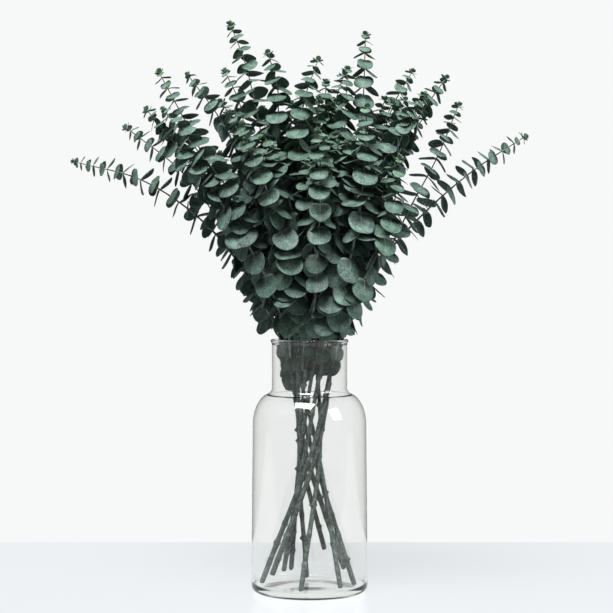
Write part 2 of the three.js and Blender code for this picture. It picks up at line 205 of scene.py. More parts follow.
def rod_mesh(line, radius, sides, cut_slant=0.0):
    """
    Points, faces and UVs of a closed rod, and how many of its faces aren't its ends.
    radius(length, turn) gives its surface.
    """
    points, coords = [], []
    for (middle, side, other, along), length in zip(rod_rings(line), arc_lengths(line)):
        slant = cut_slant * max(0.0, 1 - length / SLANT_LENGTH)
        for k in range(sides):
            turn = 2 * math.pi * k / sides
            out = side * math.cos(turn) + other * math.sin(turn)
            r = radius(length, turn)
            points.append(middle + out * r + along * slant * r * math.cos(turn))
            coords.append((k / sides, length / UV_LENGTH))
    faces = []
    for i in range(len(line) - 1):
        for k in range(sides):
            n = (k + 1) % sides
            faces.append((i * sides + k, i * sides + n, (i + 1) * sides + n, (i + 1) * sides + k))
    sides_only = len(faces)
    for ring in (0, len(line) - 1):
        middle = len(points)
        rim = range(ring * sides, ring * sides + sides)
        points.append(sum((points[i] for i in rim), Vector()) / sides)
        coords.append((0.5, coords[ring * sides][1]))
        for k in range(sides):
            a, b = rim[k], rim[(k + 1) % sides]
            faces.append((middle, a, b) if ring else (middle, b, a))
    return points, faces, coords, sides_only


# ---- Leaves ----

LEAF_TURNS = 20                       # points around a leaf's outline
LEAF_RINGS = (0.26, 0.55, 0.8, 0.94)  # rings of points inside the outline, as shares of it
LEAF_THICKNESS = 0.45 * MM
THIN_EDGE = 0.55                      # share of its thickness that a leaf loses at its edge
RIB_DEPTH = 0.4 * MM                  # of the midrib, which stands out below
RIB_WIDTH = 0.03                      # of the midrib, over the leaf's length
LEAF_WIDTH = 1.14                     # over its length
CLASP = 0.07                          # how far the lobes at a leaf's foot reach back, over its length
LOBE_WIDTH = 0.3                      # of those lobes, in radians of the outline
APEX_WIDTH = 0.22                     # of the tip's point, in radians of the outline
SPARSE_LEAF = 22.5 * MM               # thin shoots have leaves under this: no side twigs, and less droop

# How far each blade may bulge, fold at its midrib and bend down, over its length.
DOME, FOLD, BEND = (-0.02, 0.13), (-0.02, 0.12), (-0.05, 0.16)
TWIST, WAVE = 0.12, (0.006, 0.022)
APEX, SKEW = (-0.04, 0.035), 0.06     # its tip drawn in or out, and its outline pushed to one side


def leaf_outline(turn, apex):
    """A point of the outline of a leaf of length 1, along it and across it, at an angle about its middle."""
    lobes = 1.3 * math.exp(-((abs(turn) - math.pi) / LOBE_WIDTH) ** 2) - 1
    along = 0.5 + 0.5 * math.cos(turn) + CLASP * lobes * (1 - math.cos(turn)) / 2
    along += apex * math.exp(-(turn / APEX_WIDTH) ** 2)
    return along, LEAF_WIDTH / 2 * math.sin(turn) * (1 + 0.05 * math.cos(2 * turn))


class LeafMaker:
    """Grows leaf blades into one mesh."""

    def __init__(self, seed):
        self.points, self.faces, self.coords, self.tints = [], [], [], []
        self.random = random.Random(seed)

    def add(self, leaf, tint, curl=1.0):
        """A blade at a place. tint holds its light, its blue and its youth."""
        draw = self.random.uniform
        dome, fold, bend = (draw(*limits) * curl for limits in (DOME, FOLD, BEND))
        twist = draw(-TWIST, TWIST) * curl
        wave, phase = draw(*WAVE) * curl, draw(0, 2 * math.pi)
        apex, skew = draw(*APEX), draw(-SKEW, SKEW)

        def put(share, turn, face):
            rim_x, rim_y = leaf_outline(turn, apex)
            x, y = mix(0.5, rim_x, share), share * (rim_y + skew * math.sin(turn) * math.cos(turn))
            rise = fold * abs(y) - dome * (4 * y * y + (x - 0.5) ** 2) - bend * x * x + twist * x * y
            rise += wave * share ** 3 * math.sin(3 * turn + phase)
            thick = LEAF_THICKNESS * (1 - THIN_EDGE * share ** 4)
            rib = RIB_DEPTH * math.exp(-(y / RIB_WIDTH) ** 2) * max(0.0, 1 - x)
            z = leaf.length * rise + face * thick / 2 - rib
            self.points.append(leaf.foot + leaf.way * (x * leaf.length) + leaf.across * (y * leaf.length)
                               + leaf.normal * z)
            self.coords.append((x, 0.5 + y / LEAF_WIDTH))
            self.tints.append((*tint, 1.0))

        first = len(self.points)
        turns = [2 * math.pi * k / LEAF_TURNS - math.pi for k in range(LEAF_TURNS)]
        for face in (1, -1):
            put(0.0, 0.0, face)
            for share in LEAF_RINGS:
                for turn in turns:
                    put(share, turn, face)
        for turn in turns:
            put(1.0, turn, 0)
        half = 1 + len(LEAF_RINGS) * LEAF_TURNS
        rim = first + 2 * half
        for middle, order in ((first, 1), (first + half, -1)):
            rings = [range(start, start + LEAF_TURNS)
                     for start in range(middle + 1, middle + half, LEAF_TURNS)]
            rings.append(range(rim, rim + LEAF_TURNS))
            for k in range(LEAF_TURNS):
                n = (k + 1) % LEAF_TURNS
                self.faces.append((middle, rings[0][k], rings[0][n])[::order])
                for inner, outer in zip(rings, rings[1:]):
                    self.faces.append((inner[k], outer[k], outer[n], inner[n])[::order])


LEAST_SINE = 0.02  # of the angle between two leaves, so that parallel ones still have a line in common
TWIG_CUT = 0.92    # a twig nearer to a leaf's middle than this share of its radius cuts it


class Canopy:
    """The leaves and twigs so far, as flat discs and short lines, so that a new leaf finds a free place."""

    def __init__(self, twig_starts, twig_ends):
        self.middles, self.normals = np.zeros((0, 3)), np.zeros((0, 3))
        self.radii = np.zeros(0)
        self.starts, self.ends = twig_starts, twig_ends

    def crossing(self, leaf):
        """How long the lines are that a leaf shares with the leaves there, and how many twigs it cuts."""
        middle, normal, radius = np.array(leaf.middle), np.array(leaf.normal), leaf.reach
        gap = self.middles - middle
        close = np.einsum("ij,ij->i", gap, gap) < (self.radii + radius) ** 2
        gap, normals, radii = gap[close], self.normals[close], self.radii[close]
        lines = np.cross(normal, normals)
        sine = np.maximum(np.linalg.norm(lines, axis=1), LEAST_SINE)
        lines /= sine[:, None]
        height = np.einsum("ij,ij->i", normals, gap)
        foot = (normals - (normals @ normal)[:, None] * normal) * (height / sine ** 2)[:, None]
        own = np.sqrt(np.maximum(radius ** 2 - (height / sine) ** 2, 0))
        rest = gap - foot
        place = np.einsum("ij,ij->i", rest, lines)
        other = np.sqrt(np.maximum(radii ** 2 - np.einsum("ij,ij->i", rest, rest) + place ** 2, 0))
        shared = np.minimum(own, place + other) - np.maximum(-own, place - other)
        shared = shared[(own > 0) & (other > 0)]
        cut = np.maximum(shared, 0).sum()
        low, high = (self.starts - middle) @ normal, (self.ends - middle) @ normal
        across = low * high < 0
        share = (low / np.where(across, low - high, 1))[across, None]
        meeting = self.starts[across] * (1 - share) + self.ends[across] * share
        return cut, (np.linalg.norm(meeting - middle, axis=1) < radius * TWIG_CUT).sum()

    def add(self, leaf):
        self.middles = np.vstack([self.middles, leaf.middle])
        self.normals = np.vstack([self.normals, leaf.normal])
        self.radii = np.append(self.radii, leaf.reach)


# ---- Materials ----

SMOOTH = {"interpolation_type": "SMOOTHSTEP"}
COLOURS = {"data_type": "RGBA"}


def add_node(tree, kind, inputs=(), stops=(), **settings):
    """
    Adds a node with its settings and links. inputs is a list in the order of the node's sockets, or a
    dict by their names. A node or a socket in it is linked, and a string is an sRGB hex colour. stops
    are the places and the colours of a colour ramp.
    """
    node = tree.nodes.new(kind)
    for key, value in settings.items():
        setattr(node, key, value)
    for _ in stops[2:]:
        node.color_ramp.elements.new(0.5)
    for i, (place, colour) in enumerate(stops):
        node.color_ramp.elements[i].position = place
        node.color_ramp.elements[i].color = linear(colour)
    for key, value in inputs.items() if isinstance(inputs, dict) else enumerate(inputs):
        if isinstance(value, bpy.types.Node):
            value = next(socket for socket in value.outputs if socket.enabled)
        if isinstance(value, bpy.types.NodeSocket):
            tree.links.new(value, node.inputs[key])
        else:
            node.inputs[key].default_value = linear(value) if isinstance(value, str) else value
    return node


def new_material(name):
    material = bpy.data.materials.new(name)
    material.use_nodes = True
    material.node_tree.nodes.clear()
    return material, material.node_tree


# Sizes of the patterns in the finishes, as on the real plant and bottle. Some real ones are too fine
# to show, and are drawn as coarse as they need to be: those say how large the real one is.
WAX_PATCH = 9 * MM         # where neighbours have rubbed a leaf
WAX_SPECK = 1.6 * MM       # really about 0.1 mm
VEIN_NET = 2.4 * MM        # meshes of small veins, really about 1 mm
SIDE_VEIN_STEP = 0.062     # half the way between two side veins, over the leaf's length
TWIG_RUB = 7 * MM          # where leaves have rubbed a twig
TWIG_GRAIN = 0.9 * MM      # wax, really about 0.1 mm
BARK_BLOTCH = 8 * MM
BARK_CRUMB = 1.5 * MM      # wax, really about 0.3 mm
BARK_SPLITS = (16.0, 9.0)  # splits around a stem, and along 100 mm of it
WOOD_FIBRE = 0.8 * MM      # really about 0.1 mm
GLASS_WAVE = 35 * MM       # waves that the mould left in the wall


def leaf_material():
    """
    A living juvenile eucalyptus leaf: a leathery blue-green blade that grew a thin coat of wax. The
    wax lies in specks and rubs off in patches, so the leaf looks powdery and dull, with a faint sheen,
    and its midrib, side veins and the net between them show paler.
    """
    material, tree = new_material("eucalyptus_leaf")
    place = add_node(tree, "ShaderNodeTexCoord").outputs["Object"]
    uv = add_node(tree, "ShaderNodeUVMap", uv_map="UVMap")
    along, across, _ = add_node(tree, "ShaderNodeSeparateXYZ", [uv]).outputs
    tint = add_node(tree, "ShaderNodeAttribute", attribute_name="tint")
    light, blue, young = add_node(tree, "ShaderNodeSeparateColor", [tint]).outputs

    patches = add_node(tree, "ShaderNodeTexNoise", {
        "Vector": place, "Scale": 1 / WAX_PATCH, "Detail": 3.0, "Roughness": 0.6,
    })
    specks = add_node(tree, "ShaderNodeTexNoise", {
        "Vector": place, "Scale": 1 / WAX_SPECK, "Detail": 2.0, "Roughness": 0.7,
    })

    # The blade, from green to blue-green, paler in patches and yellower near a twig's tip.
    blade = add_node(tree, "ShaderNodeMix", {"Factor": blue, "A": "#2f5440", "B": "#384f50"}, **COLOURS)
    patched = add_node(tree, "ShaderNodeMapRange", [patches, 0.35, 0.7], **SMOOTH)
    blade = add_node(tree, "ShaderNodeMix", {"Factor": patched, "A": blade, "B": "#4b6c5f"}, **COLOURS)
    yellow = add_node(tree, "ShaderNodeMath", [young, 0.5], operation="MULTIPLY")
    blade = add_node(tree, "ShaderNodeMix", {"Factor": yellow, "A": blade, "B": "#668a62"}, **COLOURS)

    # The wax, most of it on the bluest leaves.
    grains = add_node(tree, "ShaderNodeMapRange", [specks, 0.48, 0.66], **SMOOTH)
    coat = add_node(tree, "ShaderNodeMapRange", [patches, 0.42, 0.72], **SMOOTH)
    coat = add_node(tree, "ShaderNodeMath", [coat, 0.35], operation="MULTIPLY")
    wax = add_node(tree, "ShaderNodeMath", [grains, 0.5, coat], operation="MULTIPLY_ADD")
    most = add_node(tree, "ShaderNodeMapRange", [blue, 0.0, 1.0, 0.55, 1.0], **SMOOTH)
    wax = add_node(tree, "ShaderNodeMath", [wax, most], operation="MULTIPLY")
    waxed = add_node(tree, "ShaderNodeMix", {"Factor": wax, "A": blade, "B": "#9db8ad"}, **COLOURS)

    # The shade that the pair above throws on a leaf's foot, which is deep in the column.
    foot = add_node(tree, "ShaderNodeMapRange", [along, 0.1, 0.6, 1.0, 0.0], **SMOOTH)
    foot = add_node(tree, "ShaderNodeMath", [foot, 0.5], operation="MULTIPLY")
    waxed = add_node(tree, "ShaderNodeMix", {"Factor": foot, "A": waxed, "B": "#262f33"}, **COLOURS)

    # The veins: the net, the side veins that sweep forward, the midrib, and the pale join to the twig.
    net = add_node(tree, "ShaderNodeTexVoronoi", {"Vector": place, "Scale": 1 / VEIN_NET},
                   feature="DISTANCE_TO_EDGE")
    net = add_node(tree, "ShaderNodeMapRange", [net, 0.0, 0.16, 1.0, 0.0], **SMOOTH)
    net = add_node(tree, "ShaderNodeMath", [net, 0.16], operation="MULTIPLY")
    off_middle = add_node(tree, "ShaderNodeMath", [across, 0.5], operation="SUBTRACT")
    off_middle = add_node(tree, "ShaderNodeMath", [off_middle], operation="ABSOLUTE")
    sweep = add_node(tree, "ShaderNodeMath", [off_middle, -0.9, along], operation="MULTIPLY_ADD")
    side_veins = add_node(tree, "ShaderNodeMath", [sweep, SIDE_VEIN_STEP], operation="PINGPONG")
    side_veins = add_node(tree, "ShaderNodeMapRange", [side_veins, 0.0, 0.012, 1.0, 0.0], **SMOOTH)
    side_veins = add_node(tree, "ShaderNodeMath", [side_veins, 0.34], operation="MULTIPLY")
    midrib = add_node(tree, "ShaderNodeMapRange", [off_middle, 0.008, 0.03, 1.0, 0.0], **SMOOTH)
    fading = add_node(tree, "ShaderNodeMapRange", [along, 0.0, 0.8, 0.85, 0.2], **SMOOTH)
    midrib = add_node(tree, "ShaderNodeMath", [midrib, fading], operation="MULTIPLY")
    join = add_node(tree, "ShaderNodeMapRange", [along, 0.02, 0.17, 1.0, 0.0], **SMOOTH)
    join = add_node(tree, "ShaderNodeMath", [join, 0.85], operation="MULTIPLY")
    veins = add_node(tree, "ShaderNodeMath", [side_veins, midrib], operation="MAXIMUM")
    veins = add_node(tree, "ShaderNodeMath", [veins, net], operation="MAXIMUM")
    veins = add_node(tree, "ShaderNodeMath", [veins, join], operation="MAXIMUM")
    veined = add_node(tree, "ShaderNodeMix", {"Factor": veins, "A": waxed, "B": "#a3b9aa"}, **COLOURS)

    # Leaves are darkened by their light value: a random tone from leaf to leaf, lower near the rim, and
    # painted shade on side twigs deep in the bunch.
    dark = add_node(tree, "ShaderNodeMapRange", [light, 0.0, 1.0, 0.6, 0.0], **SMOOTH)
    colour = add_node(tree, "ShaderNodeMix", {"Factor": dark, "A": veined, "B": "#1c2a22"}, **COLOURS)

    relief = add_node(tree, "ShaderNodeMath", [specks, 0.5], operation="MULTIPLY")
    relief = add_node(tree, "ShaderNodeMath", [veins, -0.8, relief], operation="MULTIPLY_ADD")
    bump = add_node(tree, "ShaderNodeBump", {"Strength": 0.5, "Distance": 0.15 * MM, "Height": relief})
    roughness = add_node(tree, "ShaderNodeMapRange", [patches, 0.3, 0.7, 0.46, 0.62], **SMOOTH)
    skin = add_node(tree, "ShaderNodeBsdfPrincipled", {
        "Base Color": colour, "Roughness": roughness, "IOR": 1.42, "Specular IOR Level": 0.4,
        "Sheen Weight": 0.1, "Sheen Roughness": 0.45, "Normal": bump,
    })
    lit_through = add_node(tree, "ShaderNodeMix", {"Factor": 0.5, "A": colour, "B": "#5e8a3c"}, **COLOURS)
    through = add_node(tree, "ShaderNodeBsdfTranslucent", {"Color": lit_through, "Normal": bump})
    leaf = add_node(tree, "ShaderNodeMixShader", [0.08, skin, through])
    add_node(tree, "ShaderNodeOutputMaterial", {"Surface": leaf})
    return material


def twig_material():
    """
    A green twig of this year: a smooth young skin that grew thick pale wax. It looks dull and
    blue-grey, with a soft sheen, and browner where leaves have rubbed the wax away.
    """
    material, tree = new_material("waxy_young_twig")
    place = add_node(tree, "ShaderNodeTexCoord").outputs["Object"]
    rubbed = add_node(tree, "ShaderNodeTexNoise", {
        "Vector": place, "Scale": 1 / TWIG_RUB, "Detail": 4.0, "Roughness": 0.65,
    })
    colour = add_node(tree, "ShaderNodeValToRGB", [rubbed],
                      stops=[(0.3, "#5d6558"), (0.48, "#7f8f88"), (0.62, "#a3b1ae")])
    fine = add_node(tree, "ShaderNodeTexNoise", {"Vector": place, "Scale": 1 / TWIG_GRAIN, "Detail": 2.0})
    bump = add_node(tree, "ShaderNodeBump", {"Strength": 0.35, "Distance": 0.12 * MM, "Height": fine})
    skin = add_node(tree, "ShaderNodeBsdfPrincipled", {
        "Base Color": colour, "Roughness": 0.6, "IOR": 1.42, "Sheen Weight": 0.12, "Normal": bump,
    })
    add_node(tree, "ShaderNodeOutputMaterial", {"Surface": skin})
    return material


def bark_material():
    """
    Bark of a cut stem one or two years old: thin and smooth over the wood, and split lengthwise as
    the stem grew. It is dark green to blue-grey, with crumbs of the pale wax still on it and dark
    scars where leaves fell, and it has a dull shine on its ridges.
    """
    material, tree = new_material("eucalyptus_bark")
    place = add_node(tree, "ShaderNodeTexCoord").outputs["Object"]
    uv = add_node(tree, "ShaderNodeUVMap", uv_map="UVMap")
    tint = add_node(tree, "ShaderNodeAttribute", attribute_name="tint")
    grey_share, scar, _ = add_node(tree, "ShaderNodeSeparateColor", [tint]).outputs
    stretched = add_node(tree, "ShaderNodeMapping", {"Vector": uv, "Scale": (*BARK_SPLITS, 1.0)})
    splits = add_node(tree, "ShaderNodeTexNoise", {
        "Vector": stretched, "Scale": 1.0, "Detail": 5.0, "Roughness": 0.65,
    })
    blotches = add_node(tree, "ShaderNodeTexNoise", {
        "Vector": place, "Scale": 1 / BARK_BLOTCH, "Detail": 4.0, "Roughness": 0.6,
    })
    crumbs = add_node(tree, "ShaderNodeTexNoise", {
        "Vector": place, "Scale": 1 / BARK_CRUMB, "Detail": 3.0, "Roughness": 0.7,
    })
    green = add_node(tree, "ShaderNodeValToRGB", [blotches],
                     stops=[(0.38, "#0e1310"), (0.5, "#202a24"), (0.62, "#44524a")])
    grey = add_node(tree, "ShaderNodeValToRGB", [blotches],
                    stops=[(0.38, "#171c1f"), (0.5, "#323d3f"), (0.62, "#667373")])
    colour = add_node(tree, "ShaderNodeMix", {"Factor": grey_share, "A": green, "B": grey}, **COLOURS)
    split = add_node(tree, "ShaderNodeMapRange", [splits, 0.42, 0.7, 0.0, 0.6], **SMOOTH)
    colour = add_node(tree, "ShaderNodeMix", {"Factor": split, "A": colour, "B": "#1a1914"}, **COLOURS)
    waxed = add_node(tree, "ShaderNodeMapRange", [crumbs, 0.57, 0.64, 0.0, 0.7], **SMOOTH)
    colour = add_node(tree, "ShaderNodeMix", {"Factor": waxed, "A": colour, "B": "#aab5ae"}, **COLOURS)
    scarred = add_node(tree, "ShaderNodeMath", [scar, 0.7], operation="MULTIPLY")
    colour = add_node(tree, "ShaderNodeMix", {"Factor": scarred, "A": colour, "B": "#3b3227"}, **COLOURS)
    relief = add_node(tree, "ShaderNodeMath", [crumbs, 0.9], operation="MULTIPLY")
    relief = add_node(tree, "ShaderNodeMath", [splits, -0.8, relief], operation="MULTIPLY_ADD")
    bump = add_node(tree, "ShaderNodeBump", {"Strength": 0.9, "Distance": 0.45 * MM, "Height": relief})
    bark = add_node(tree, "ShaderNodeBsdfPrincipled", {
        "Base Color": colour, "Roughness": 0.5, "IOR": 1.45, "Normal": bump,
    })
    add_node(tree, "ShaderNodeOutputMaterial", {"Surface": bark})
    return material


def cut_wood_material():
    """
    Fresh sapwood, sliced across with shears: pale and fibrous, darker where it has dried, with no
    shine.
    """
    material, tree = new_material("cut_sapwood")
    place = add_node(tree, "ShaderNodeTexCoord").outputs["Object"]
    fibres = add_node(tree, "ShaderNodeTexNoise", {"Vector": place, "Scale": 1 / WOOD_FIBRE, "Detail": 3.0})
    colour = add_node(tree, "ShaderNodeValToRGB", [fibres], stops=[(0.3, "#8d7b5a"), (0.6, "#b9a986")])
    bump = add_node(tree, "ShaderNodeBump", {"Strength": 0.5, "Distance": 0.15 * MM, "Height": fibres})
    wood = add_node(tree, "ShaderNodeBsdfPrincipled", {
        "Base Color": colour, "Roughness": 0.8, "Normal": bump,
    })
    add_node(tree, "ShaderNodeOutputMaterial", {"Surface": wood})
    return material


def glass_material():
    """
    Clear soda-lime bottle glass, blown in a mould: smooth and bright, slightly uneven where it met
    the mould, with a faint yellow-green cast where it is thick. Lamps shine through it onto the
    stems, so soft light and shadows pass it as if it were thin.
    """
    material, tree = new_material("clear_bottle_glass")
    place = add_node(tree, "ShaderNodeTexCoord").outputs["Object"]
    uneven = add_node(tree, "ShaderNodeTexNoise", {
        "Vector": place, "Scale": 1 / GLASS_WAVE, "Detail": 1.0, "Roughness": 0.4,
    })
    bump = add_node(tree, "ShaderNodeBump", {"Strength": 0.12, "Distance": 0.5 * MM, "Height": uneven})
    colour = add_node(tree, "ShaderNodeValToRGB", [uneven], stops=[(0.3, "#f9fafa"), (0.7, "#fcfdfd")])
    glass = add_node(tree, "ShaderNodeBsdfPrincipled", {
        "Base Color": colour, "Roughness": 0.0, "IOR": 1.5, "Transmission Weight": 1.0, "Normal": bump,
    })
    thin = add_node(tree, "ShaderNodeBsdfTransparent", {"Color": "#f3f7f5"})
    path = add_node(tree, "ShaderNodeLightPath").outputs
    soft = add_node(tree, "ShaderNodeMath", [path["Is Shadow Ray"], path["Is Diffuse Ray"]],
                    operation="MAXIMUM")
    wall = add_node(tree, "ShaderNodeMixShader", [soft, glass, thin])
    cast = add_node(tree, "ShaderNodeVolumeAbsorption", {"Color": "#f1edc4", "Density": 13.0})
    add_node(tree, "ShaderNodeOutputMaterial", {"Surface": wall, "Volume": cast})
    return material


def table_material():
    """
    White lacquer sprayed on a board and lit from all sides: an even, slightly blue white with a
    dull gloss and the faintest mottle.
    """
    material, tree = new_material("white_table_top")
    place = add_node(tree, "ShaderNodeTexCoord").outputs["Object"]
    mottle = add_node(tree, "ShaderNodeTexNoise", {"Vector": place, "Scale": 2.0, "Detail": 1.0})
    colour = add_node(tree, "ShaderNodeValToRGB", [mottle], stops=[(0.35, "#5f6365"), (0.65, "#636668")])
    top = add_node(tree, "ShaderNodeBsdfPrincipled", {
        "Base Color": colour, "Roughness": 0.22, "Specular IOR Level": 0.05,
        "Emission Color": "#fafcff", "Emission Strength": 0.7,
    })
    add_node(tree, "ShaderNodeOutputMaterial", {"Surface": top})
    return material


LEAF = leaf_material()
TWIG = twig_material()
BARK = bark_material()
CUT_WOOD = cut_wood_material()
GLASS = glass_material()
TABLE_TOP = table_material()


# ---- The bottle ----

BOTTLE_TURNS = 128
_, BOTTLE_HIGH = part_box("bottle")
RIM_HEIGHT = BOTTLE_HIGH.z
FOOT_OUTSIDE = BOTTLE_HIGH.x
WALL = 2.2 * MM
BODY_OUTSIDE = FOOT_OUTSIDE - 1.6 * MM
NECK_OUTSIDE = FOOT_OUTSIDE - 21.9 * MM
NECK_INSIDE = NECK_OUTSIDE - WALL
HEEL = 7.5 * MM                  # radius of the round between base and body
INNER_HEEL = HEEL + 0.5 * MM
FLOOR = 5.2 * MM                 # thickness of the floor
PUSH_UP = 1.6 * MM               # how far the middle of the base is pushed up
STANDING = 0.79                  # radius of the ring that it stands on, over the foot's
SHOULDER_LOW = RIM_HEIGHT - 90 * MM
SHOULDER_TOP = RIM_HEIGHT - 57 * MM
SHOULDER_END = 77                # degrees of the shoulder's curve, where a fillet to the neck takes over
RIM_OUT = 1.4 * MM               # how far the rolled rim stands out
RIM_ROUND = 1.7 * MM             # half its height
RIM_INNER_ROUND = 0.9 * MM


def arc(centre_r, centre_z, radius_r, radius_z, start, end, steps):
    """Points of a quarter-turn or so around a centre, as (radius, height), by degrees."""
    turns = [math.radians(mix(start, end, i / steps)) for i in range(steps + 1)]
    return [(centre_r + radius_r * math.cos(t), centre_z + radius_z * math.sin(t)) for t in turns]


def straight(start, end, shares):
    """Points between two (radius, height) points, at those shares of the way."""
    return [(mix(start[0], end[0], s), mix(start[1], end[1], s)) for s in shares]


def bottle_profile():
    """The wall's section: base, heel, body, shoulder, neck and rolled rim, and back down inside."""
    step_in, rise = BODY_OUTSIDE - NECK_OUTSIDE, SHOULDER_TOP - SHOULDER_LOW
    # The fillet runs into the shoulder's curve and into the neck without a corner.
    turned = math.radians(SHOULDER_END)
    join = 270 - math.degrees(math.atan2(rise * math.cos(turned), step_in * math.sin(turned)))
    fillet = step_in * math.cos(turned) / (1 + math.cos(math.radians(join)))
    fillet_height = SHOULDER_LOW + rise * math.sin(turned) - fillet * math.sin(math.radians(join))
    floor_round = FLOOR + INNER_HEEL - 1.5 * MM
    return [
        (0, PUSH_UP), (FOOT_OUTSIDE * 0.35, PUSH_UP * 0.85), (FOOT_OUTSIDE * 0.6, PUSH_UP * 0.45),
        (FOOT_OUTSIDE * 0.74, 0.3 * MM), (FOOT_OUTSIDE * STANDING, 0),
        *arc(FOOT_OUTSIDE - HEEL, HEEL, HEEL, HEEL, -78, 0, 10),
        *straight((FOOT_OUTSIDE, HEEL), (BODY_OUTSIDE, SHOULDER_LOW), (0.2, 0.4, 0.6, 0.8, 0.96)),
        *arc(NECK_OUTSIDE, SHOULDER_LOW, step_in, rise, 4, SHOULDER_END, 20),
        *arc(NECK_OUTSIDE + fillet, fillet_height, fillet, fillet, join - 8, 180, 9),
        *straight((NECK_OUTSIDE, fillet_height), (NECK_OUTSIDE, RIM_HEIGHT), (0.3, 0.6, 0.88)),
        *arc(NECK_OUTSIDE + 0.2 * MM, RIM_HEIGHT - RIM_ROUND, RIM_OUT - 0.2 * MM, RIM_ROUND, -75, 90, 8),
        *arc(NECK_INSIDE + RIM_INNER_ROUND, RIM_HEIGHT - RIM_INNER_ROUND,
             RIM_INNER_ROUND, RIM_INNER_ROUND, 90, 180, 4),
        *straight((NECK_INSIDE, RIM_HEIGHT), (NECK_INSIDE, fillet_height), (0.3, 0.6, 0.9)),
        *arc(NECK_OUTSIDE + fillet, fillet_height, fillet + WALL, fillet + WALL, 180, join, 9),
        *arc(NECK_INSIDE, SHOULDER_LOW, step_in, rise - WALL / 2, 70, 4, 18),
        *straight((BODY_OUTSIDE - WALL, SHOULDER_LOW), (FOOT_OUTSIDE - WALL, FLOOR + HEEL),
                  (0.1, 0.3, 0.5, 0.7, 0.9)),
        *arc(FOOT_OUTSIDE - WALL - INNER_HEEL, floor_round, INNER_HEEL, INNER_HEEL, 0, -82, 10),
        (FOOT_OUTSIDE * 0.5, FLOOR - 0.9 * MM), (FOOT_OUTSIDE * 0.25, FLOOR + 0.1 * MM),
        (0, FLOOR + 0.4 * MM),
    ]


def make_bottle():
    """The profile, turned."""
    (_, base), *rings, (_, floor) = bottle_profile()
    points = [Vector((0, 0, base))]
    for r, z in rings:
        for k in range(BOTTLE_TURNS):
            turn = 2 * math.pi * k / BOTTLE_TURNS
            points.append(Vector((r * math.cos(turn), r * math.sin(turn), z)))
    points.append(Vector((0, 0, floor)))
    last = len(rings) - 1

    def corner(ring, k):
        return 1 + ring * BOTTLE_TURNS + k % BOTTLE_TURNS

    faces = []
    for k in range(BOTTLE_TURNS):
        faces.append((0, corner(0, k + 1), corner(0, k)))
        faces.append((len(points) - 1, corner(last, k), corner(last, k + 1)))
    for ring in range(last):
        for k in range(BOTTLE_TURNS):
            faces.append((corner(ring, k), corner(ring, k + 1),
                          corner(ring + 1, k + 1), corner(ring + 1, k)))
    bottle = make_piece("glass_bottle", points, faces, [GLASS])
    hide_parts("bottle")


# ---- Stems ----

STEM_SIDES = 18
STEM_STEPS = 30             # between two of the frame's rings
STEM_FOOT_RADIUS = 2.6 * MM
STEM_HEAD_RADIUS = 1.8 * MM
STOUT = (0.92, 1.15)        # a stem's thickness against the others'
CUT_SLANT = (0.2, 1.6)      # rise of the cut over its radius
GREY = (0.0, 0.9)           # a stem's share of grey bark
FIRST_SCARS = (16, 26)      # mm from the cut to the first two scars of fallen leaves
SCAR_STEP = (22, 34)        # mm to the next two
LAST_SCARS = 12 * MM        # from the head
SCAR_CHANCE = 0.75
SCAR_HEIGHT = (0.5, 2.6)    # mm that a leaf's stub stands out
SCAR_LENGTH = 1.5 * MM
SCAR_WIDTH = 0.5            # radians
NODE_LENGTH = 3 * MM        # the ring-shaped swelling that two scars stand on
NODE_HEIGHT = 0.28 * MM


def make_stem(name, index):
    """A stem's bark and cut ends. Gives back its middle line."""
    draw = random.Random(1000 + index)
    line = spline(read_stem(name), STEM_STEPS)
    lengths = arc_lengths(line)
    total = lengths[-1]
    stout = draw.uniform(*STOUT)
    scars = []
    place = draw.uniform(*FIRST_SCARS) * MM
    turn = draw.uniform(0, math.pi)
    while place < total - LAST_SCARS:
        for half in (0, math.pi):
            if draw.random() < SCAR_CHANCE:
                scars.append((place + draw.uniform(-1, 1) * MM, turn + half,
                              draw.uniform(*SCAR_HEIGHT) * MM))
        place += draw.uniform(*SCAR_STEP) * MM
        turn += math.pi / 2 + draw.uniform(-0.2, 0.2)

    def scar_at(length, angle):
        """How far the highest stub there stands out, in mm."""
        most = 0.0
        for where, facing, height in scars:
            off = (length - where) / SCAR_LENGTH
            aside = (angle - facing + math.pi) % (2 * math.pi) - math.pi
            if abs(off) < 3 and abs(aside) < 1.6:
                most = max(most, height / MM * math.exp(-off * off - (aside / SCAR_WIDTH) ** 2))
        return most

    def radius(length, angle):
        r = mix(STEM_FOOT_RADIUS, STEM_HEAD_RADIUS, smooth_step(length / total)) * stout
        r *= 1 + 0.05 * math.sin(3 * angle + 40 * length) + 0.025 * math.sin(7 * angle + 170 * length)
        for where, _, _ in scars:
            off = (length - where) / NODE_LENGTH
            if abs(off) < 3:
                r += NODE_HEIGHT * math.exp(-off * off)
        return r + scar_at(length, angle) * MM

    points, faces, coords, sides_only = rod_mesh(line, radius, STEM_SIDES, draw.uniform(*CUT_SLANT))
    grey = draw.uniform(*GREY)
    tints = []
    for i in range(len(points)):
        ring = min(i // STEM_SIDES, len(line) - 1)
        angle = 2 * math.pi * (i % STEM_SIDES) / STEM_SIDES
        tints.append((grey, min(1.0, scar_at(lengths[ring], angle)), 0, 1))
    face_materials = [0] * sides_only + [1] * (len(faces) - sides_only)
    stem = make_piece(f"{name}_bark", points, faces, [BARK, CUT_WOOD], face_materials, coords, tints)
    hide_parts(name)
    return line


# ---- Leafy shoots ----

